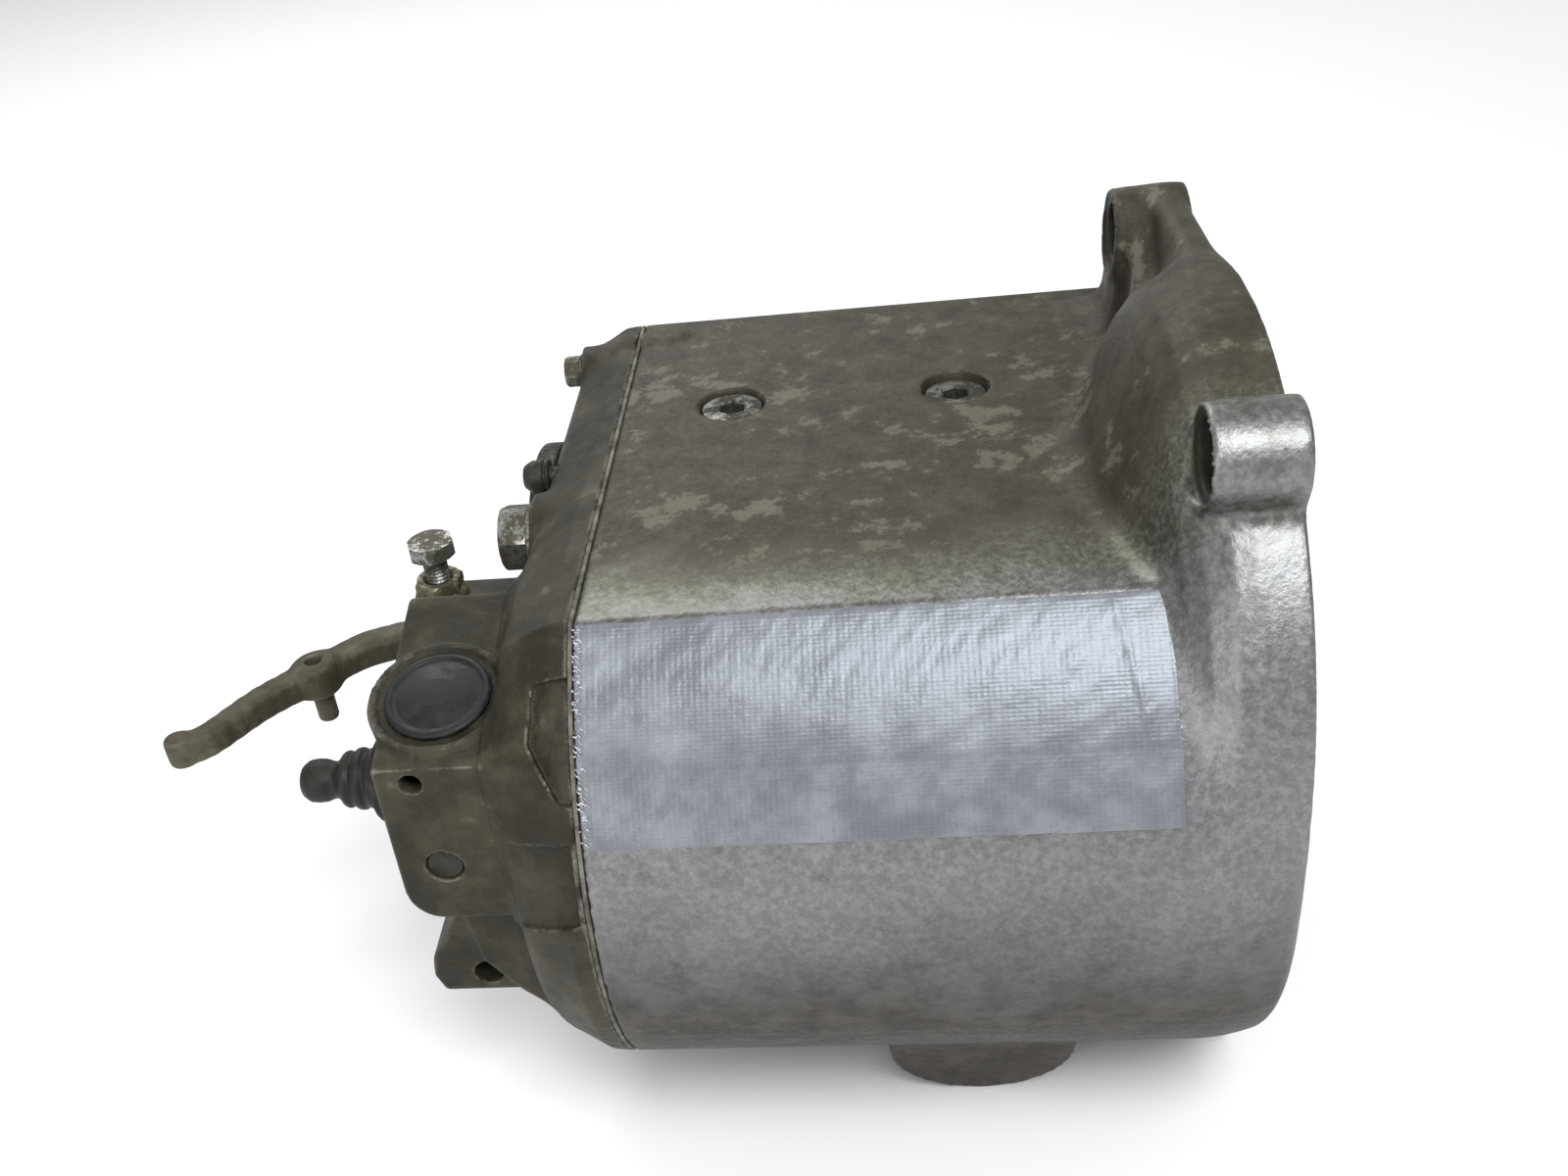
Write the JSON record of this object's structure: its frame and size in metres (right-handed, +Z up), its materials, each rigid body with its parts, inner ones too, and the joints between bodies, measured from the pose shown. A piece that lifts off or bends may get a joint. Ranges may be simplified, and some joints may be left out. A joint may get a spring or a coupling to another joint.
{
  "type": "manual transmission",
  "caption": "Motorcycle manual transmission: cast barrel casing with engine bell, rear cover with clutch release arm, working gear train, dog sleeves, forks and cam plates.",
  "frame": {"origin": "middle of the bounding box's underside", "axes": "+X forward along the shafts to the engine face, +Y to the far side where the output shaft is, +Z up as the casing's flat top faces"},
  "size_m": [0.3254, 0.2496, 0.2465],
  "materials": {
    "casing_alloy": "as-cast, satin, dirty towards the bottom",
    "cover_alloy": "as-cast under dark brown grime",
    "lever_alloy": "as-cast, dirty",
    "gasket_paper": "matt",
    "bolt_steel": "dull zinc plate with grime",
    "screw_steel": "dark oiled steel",
    "zinc_steel": "worn zinc plate",
    "dark_steel": "blackened, oily",
    "rubber": "matt, dusty",
    "tape": "silver cloth tape, semi-gloss",
    "bearing_steel": "ground",
    "gear_steel": "ground, oiled",
    "machined_steel": "turned"
  },
  "bodies": {
    "root": {"housing": "casing_alloy", "rear_cover": "cover_alloy", "cover_gasket": "gasket_paper", "cover_bolt_1": "bolt_steel", "cover_bolt_2": "bolt_steel", "cover_bolt_3": "bolt_steel", "cover_bolt_4": "bolt_steel", "cover_bolt_5": "bolt_steel", "detent_plug": "bolt_steel", "filler_plug": "bolt_steel", "drain_plug": "bolt_steel", "dowel_1": "bolt_steel", "dowel_2": "bolt_steel", "cam_screw_rear": "screw_steel", "cam_screw_front": "screw_steel", "clutch_pivot_bolt": "zinc_steel", "clutch_pivot_nut": "zinc_steel", "breather_cap": "dark_steel", "neutral_switch": "dark_steel", "window_plug": "rubber", "switch_boot": "rubber", "input_seal": "rubber", "output_seal": "rubber", "tape_label": "tape", "input_bearing_front": "bearing_steel", "input_bearing_rear": "bearing_steel", "lay_bearing_front": "bearing_steel", "lay_bearing_rear": "bearing_steel", "output_bearing_front": "bearing_steel", "output_bearing_rear": "bearing_steel", "fork_rod": "machined_steel", "cam_clip_rear": "machined_steel", "cam_clip_front": "machined_steel", "selector_spring": "machined_steel"},
    "input": {"input_shaft": "gear_steel", "damper_cam": "gear_steel", "damper_spring": "machined_steel"},
    "countershaft": {"layshaft": "gear_steel"},
    "output": {"output_shaft": "gear_steel", "output_flange": "dark_steel", "output_nut": "dark_steel"},
    "release": {"thrust_piston": "machined_steel", "thrust_bearing": "bearing_steel", "clutch_pushrod": "machined_steel"},
    "lever": {"clutch_lever": "lever_alloy"},
    "selector": {"selector_shaft": "machined_steel"},
    "cam_rear": {"cam_plate_rear": "gear_steel"},
    "cam_front": {"cam_plate_front": "gear_steel"},
    "gear_1": {"gear_1": "gear_steel"},
    "gear_2": {"gear_2": "gear_steel"},
    "gear_3": {"gear_3": "gear_steel"},
    "gear_4": {"gear_4": "gear_steel"},
    "gear_5": {"gear_5": "gear_steel"},
    "sleeve_low": {"sleeve_low": "gear_steel"},
    "fork_low": {"fork_low": "machined_steel"},
    "sleeve_mid": {"sleeve_mid": "gear_steel"},
    "fork_mid": {"fork_mid": "machined_steel"},
    "sleeve_high": {"sleeve_high": "gear_steel"},
    "fork_high": {"fork_high": "machined_steel"}
  },
  "joints": [
    {"name": "input_spin", "type": "hinge", "parent": "root", "child": "input", "pos_m": [0.0717, -0.01216, 0.142], "axis": [1, 0, 0], "continuous": true},
    {"name": "layshaft_spin", "type": "hinge", "parent": "root", "child": "countershaft", "pos_m": [0.0417, 0.01007, 0.08886], "axis": [1, 0, 0], "continuous": true},
    {"name": "output_spin", "type": "hinge", "parent": "root", "child": "output", "pos_m": [0.0417, 0.05784, 0.129], "axis": [1, 0, 0], "continuous": true},
    {"name": "gear_1_spin", "type": "hinge", "parent": "root", "child": "gear_1", "pos_m": [0.0417, 0.05784, 0.129], "axis": [1, 0, 0], "continuous": true},
    {"name": "gear_2_spin", "type": "hinge", "parent": "root", "child": "gear_2", "pos_m": [0.0417, 0.05784, 0.129], "axis": [1, 0, 0], "continuous": true},
    {"name": "gear_3_spin", "type": "hinge", "parent": "root", "child": "gear_3", "pos_m": [0.0417, 0.05784, 0.129], "axis": [1, 0, 0], "continuous": true},
    {"name": "gear_4_spin", "type": "hinge", "parent": "root", "child": "gear_4", "pos_m": [0.0417, 0.05784, 0.129], "axis": [1, 0, 0], "continuous": true},
    {"name": "gear_5_spin", "type": "hinge", "parent": "root", "child": "gear_5", "pos_m": [0.0417, 0.05784, 0.129], "axis": [1, 0, 0], "continuous": true},
    {"name": "fork_low_slide", "type": "slide", "parent": "root", "child": "fork_low", "axis": [1, 0, 0], "range_m": [-0.0041, 0.0041]},
    {"name": "sleeve_low_slide", "type": "slide", "parent": "output", "child": "sleeve_low", "axis": [1, 0, 0], "range_m": [-0.0041, 0.0041]},
    {"name": "fork_mid_slide", "type": "slide", "parent": "root", "child": "fork_mid", "axis": [1, 0, 0], "range_m": [-0.0041, 0.0041]},
    {"name": "sleeve_mid_slide", "type": "slide", "parent": "output", "child": "sleeve_mid", "axis": [1, 0, 0], "range_m": [-0.0041, 0.0041]},
    {"name": "fork_high_slide", "type": "slide", "parent": "root", "child": "fork_high", "axis": [1, 0, 0], "range_m": [-0.0041, 0]},
    {"name": "sleeve_high_slide", "type": "slide", "parent": "output", "child": "sleeve_high", "axis": [1, 0, 0], "range_m": [-0.0041, 0]},
    {"name": "cam_rear_turn", "type": "hinge", "parent": "root", "child": "cam_rear", "pos_m": [0.008, 0.04504, 0.182], "axis": [0, 0, 1], "range_deg": [-30, 30]},
    {"name": "cam_front_turn", "type": "hinge", "parent": "root", "child": "cam_front", "pos_m": [0.0821, 0.04504, 0.182], "axis": [0, 0, 1], "range_deg": [-30, 30]},
    {"name": "selector_turn", "type": "hinge", "parent": "root", "child": "selector", "pos_m": [-0.0733, -0.05216, 0.127], "axis": [0, 1, 0], "range_deg": [-8, 8], "stiffness_Nm_per_rad": 1.5},
    {"name": "clutch_lever_swing", "type": "hinge", "parent": "root", "child": "lever", "pos_m": [-0.0873, -0.00416, 0.145], "axis": [0, 0, 1], "range_deg": [0, 12]},
    {"name": "release_slide", "type": "slide", "parent": "root", "child": "release", "axis": [1, 0, 0], "range_m": [0, 0.0017]}
  ],
  "couplings": [
    {"joint": "layshaft_spin", "follows": "input_spin", "ratio": -0.56522},
    {"joint": "gear_1_spin", "follows": "input_spin", "ratio": 0.22205},
    {"joint": "gear_2_spin", "follows": "input_spin", "ratio": 0.35326},
    {"joint": "gear_3_spin", "follows": "input_spin", "ratio": 0.48447},
    {"joint": "gear_4_spin", "follows": "input_spin", "ratio": 0.59497},
    {"joint": "gear_5_spin", "follows": "input_spin", "ratio": 0.65942},
    {"joint": "sleeve_low_slide", "follows": "fork_low_slide", "ratio": 1},
    {"joint": "sleeve_mid_slide", "follows": "fork_mid_slide", "ratio": 1},
    {"joint": "sleeve_high_slide", "follows": "fork_high_slide", "ratio": 1},
    {"joint": "cam_front_turn", "follows": "cam_rear_turn", "ratio": -1},
    {"joint": "release_slide", "follows": "clutch_lever_swing", "m_per_rad": 0.008}
  ]
}
